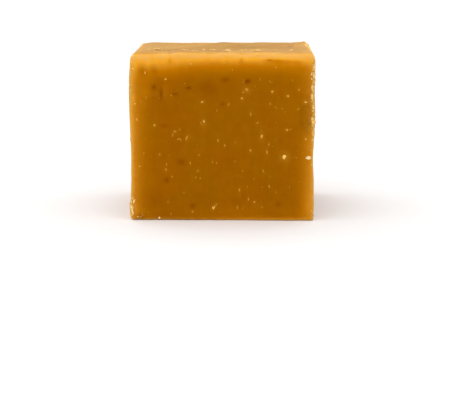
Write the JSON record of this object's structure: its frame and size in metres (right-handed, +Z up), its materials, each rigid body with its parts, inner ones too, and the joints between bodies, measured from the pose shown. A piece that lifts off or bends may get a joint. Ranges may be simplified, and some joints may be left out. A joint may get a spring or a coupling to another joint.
{
  "type": "fudge cube",
  "caption": "One hand-cut cube of caramel-coloured fudge, a solid sweet with a smoothed, faintly ridged top, four cut sides and a flat base to stand on.",
  "frame": {"origin": "middle of the flat base, on the surface that the cube stands on", "axes": "+X runs along the wide cut face and +Z is up; that face looks towards -Y and the poured, knife-smoothed surface is on top"},
  "size_m": [0.0304, 0.0248, 0.0277],
  "materials": {
    "fudge": "dense caramel-coloured fudge with a soft satin sheen, paler where light passes through its thin edges, with small sugar grains and a few darker pits in the cut faces"
  },
  "bodies": {
    "root": {"fudge_cube": "fudge"}
  },
  "joints": []
}
